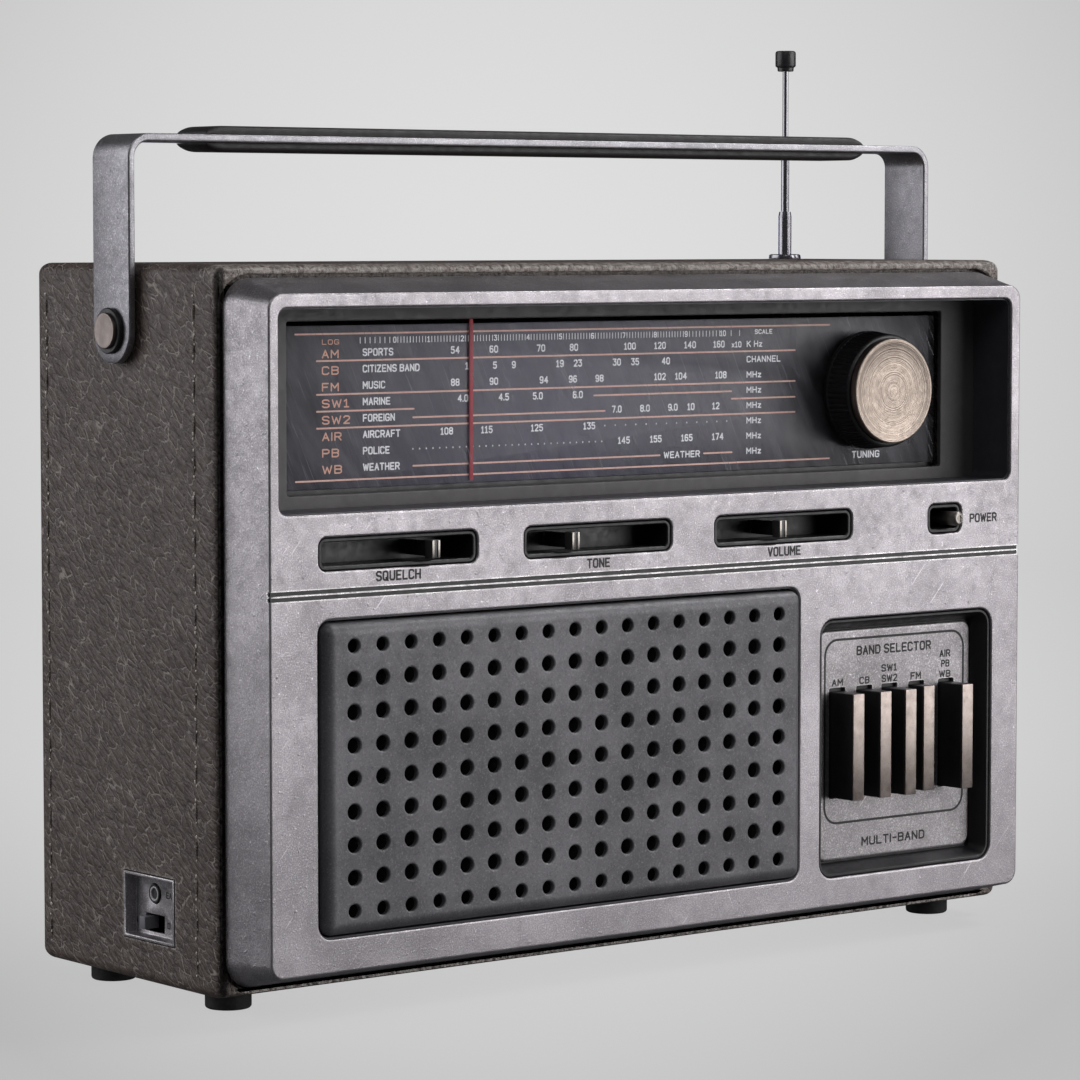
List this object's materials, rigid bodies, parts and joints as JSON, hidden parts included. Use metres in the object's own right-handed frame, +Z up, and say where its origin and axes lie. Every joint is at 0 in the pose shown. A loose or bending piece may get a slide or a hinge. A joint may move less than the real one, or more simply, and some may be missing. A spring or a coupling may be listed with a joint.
{
  "type": "portable shortwave receiver",
  "caption": "Portable multi-band radio with a leatherette cabinet, recessed tuning dial and knob, slide controls, piano-key band selector, strap handle and telescopic antenna.",
  "frame": {"origin": "under the middle of the plan, on the plane the feet stand on", "axes": "+Z up, -Y towards the person facing the dial, +X to that person's right"},
  "size_m": [0.3164, 0.1146, 0.2806],
  "materials": {
    "leatherette": "grained",
    "silver_paint": "satin",
    "black_plastic": "satin",
    "frame_plastic": "satin",
    "dial_plastic": "printed",
    "clear_plastic": "clear",
    "grille_paint": "satin",
    "champagne_metal": "spun",
    "chrome": "polished",
    "steel": "satin",
    "rubber": "matte",
    "pointer_red": "gloss",
    "paper_cone": "matte",
    "magnet": "matte",
    "circuit_board": "satin"
  },
  "bodies": {
    "cabinet": {"cabinet_shell": "leatherette", "rear_cover": "black_plastic", "battery_tray": "black_plastic", "foot_front_left": "rubber", "foot_front_right": "rubber", "foot_rear_left": "rubber", "foot_rear_right": "rubber", "front_bezel": "silver_paint", "dial_frame": "frame_plastic", "dial_window": "clear_plastic", "dial_scale": "dial_plastic", "control_well": "black_plastic", "speaker_grille": "grille_paint", "selector_tray": "black_plastic", "selector_plate": "silver_paint", "squelch_potentiometer": "steel", "tone_potentiometer": "steel", "volume_potentiometer": "steel", "power_switch": "black_plastic", "tuning_capacitor": "steel", "pointer_rail": "steel", "speaker_basket": "steel", "speaker_cone": "paper_cone", "speaker_magnet": "magnet", "band_switch_bank": "steel", "main_circuit_board": "circuit_board", "ferrite_rod_antenna": "magnet", "jack_panel": "silver_paint", "earphone_jack": "chrome", "handle_pivot_left": "champagne_metal", "handle_pivot_right": "champagne_metal", "antenna_base": "chrome"},
    "battery_door": {"battery_door": "black_plastic"},
    "handle": {"handle_strap": "steel", "handle_grip_upper": "black_plastic", "handle_grip_lower": "black_plastic"},
    "tuning_knob": {"tuning_knob": "black_plastic", "tuning_knob_cap": "champagne_metal", "tuning_shaft": "steel"},
    "tuning_drum": {"tuning_drum": "black_plastic"},
    "dial_pointer": {"dial_pointer": "pointer_red"},
    "squelch_slider": {"squelch_slider": "chrome"},
    "tone_slider": {"tone_slider": "chrome"},
    "volume_slider": {"volume_slider": "chrome"},
    "power_toggle": {"power_toggle": "chrome"},
    "side_switch": {"side_switch_knob": "black_plastic"},
    "antenna_lower": {"antenna_tube_lower": "chrome"},
    "antenna_middle": {"antenna_tube_middle": "chrome"},
    "antenna_upper": {"antenna_tube_upper": "chrome", "antenna_tip": "black_plastic"},
    "band_key_am": {"band_key_am": "black_plastic", "band_key_face_am": "champagne_metal"},
    "band_key_cb": {"band_key_cb": "black_plastic", "band_key_face_cb": "champagne_metal"},
    "band_key_sw": {"band_key_sw": "black_plastic", "band_key_face_sw": "champagne_metal"},
    "band_key_fm": {"band_key_fm": "black_plastic", "band_key_face_fm": "champagne_metal"},
    "band_key_air": {"band_key_air": "black_plastic", "band_key_face_air": "champagne_metal"}
  },
  "joints": [
    {"name": "handle_fold", "type": "hinge", "parent": "cabinet", "child": "handle", "pos_m": [0, 0.0103, 0.1926], "axis": [1, 0, 0], "range_deg": [-22, 62]},
    {"name": "tuning_knob_turn", "type": "hinge", "parent": "cabinet", "child": "tuning_knob", "pos_m": [0.0949, -0.0453, 0.1713], "axis": [0, 1, 0], "range_deg": [-773, 1973]},
    {"name": "dial_pointer_travel", "type": "slide", "parent": "cabinet", "child": "dial_pointer", "axis": [1, 0, 0], "range_m": [-0.0405, 0.1034]},
    {"name": "tuning_drum_turn", "type": "hinge", "parent": "cabinet", "child": "tuning_drum", "pos_m": [0.05, -0.0284, 0.162], "axis": [0, 1, 0], "range_deg": [-81, 206]},
    {"name": "squelch_slide", "type": "slide", "parent": "cabinet", "child": "squelch_slider", "axis": [1, 0, 0], "range_m": [-0.0336, 0.0113]},
    {"name": "tone_slide", "type": "slide", "parent": "cabinet", "child": "tone_slider", "axis": [1, 0, 0], "range_m": [-0.0117, 0.0333]},
    {"name": "volume_slide", "type": "slide", "parent": "cabinet", "child": "volume_slider", "axis": [1, 0, 0], "range_m": [-0.0198, 0.0252]},
    {"name": "power_toggle_flip", "type": "hinge", "parent": "cabinet", "child": "power_toggle", "pos_m": [0.1124, -0.0429, 0.13105], "axis": [0, 0, 1], "range_deg": [-22, 0]},
    {"name": "band_key_am_press", "type": "slide", "parent": "cabinet", "child": "band_key_am", "axis": [0, 1, 0], "range_m": [0, 0.004]},
    {"name": "band_key_cb_press", "type": "slide", "parent": "cabinet", "child": "band_key_cb", "axis": [0, 1, 0], "range_m": [0, 0.004]},
    {"name": "band_key_sw_press", "type": "slide", "parent": "cabinet", "child": "band_key_sw", "axis": [0, 1, 0], "range_m": [0, 0.004]},
    {"name": "band_key_fm_release", "type": "slide", "parent": "cabinet", "child": "band_key_fm", "axis": [0, -1, 0], "range_m": [0, 0.004]},
    {"name": "band_key_air_press", "type": "slide", "parent": "cabinet", "child": "band_key_air", "axis": [0, 1, 0], "range_m": [0, 0.004]},
    {"name": "side_switch_slide", "type": "slide", "parent": "cabinet", "child": "side_switch", "axis": [0, -1, 0], "range_m": [0, 0.006]},
    {"name": "battery_door_open", "type": "hinge", "parent": "cabinet", "child": "battery_door", "pos_m": [-0.075, 0.0563, 0.017], "axis": [-1, 0, 0], "range_deg": [0, 90]},
    {"name": "antenna_lower_pull", "type": "slide", "parent": "cabinet", "child": "antenna_lower", "axis": [0, 0, 1], "range_m": [-0.0142, 0.134]},
    {"name": "antenna_middle_pull", "type": "slide", "parent": "antenna_lower", "child": "antenna_middle", "axis": [0, 0, 1], "range_m": [-0.0227, 0.12]},
    {"name": "antenna_upper_pull", "type": "slide", "parent": "antenna_middle", "child": "antenna_upper", "axis": [0, 0, 1], "range_m": [-0.0217, 0.12]}
  ],
  "couplings": [
    {"joint": "dial_pointer_travel", "follows": "tuning_knob_turn", "m_per_rad": 0.003},
    {"joint": "tuning_drum_turn", "follows": "tuning_knob_turn", "ratio": 0.1042}
  ]
}
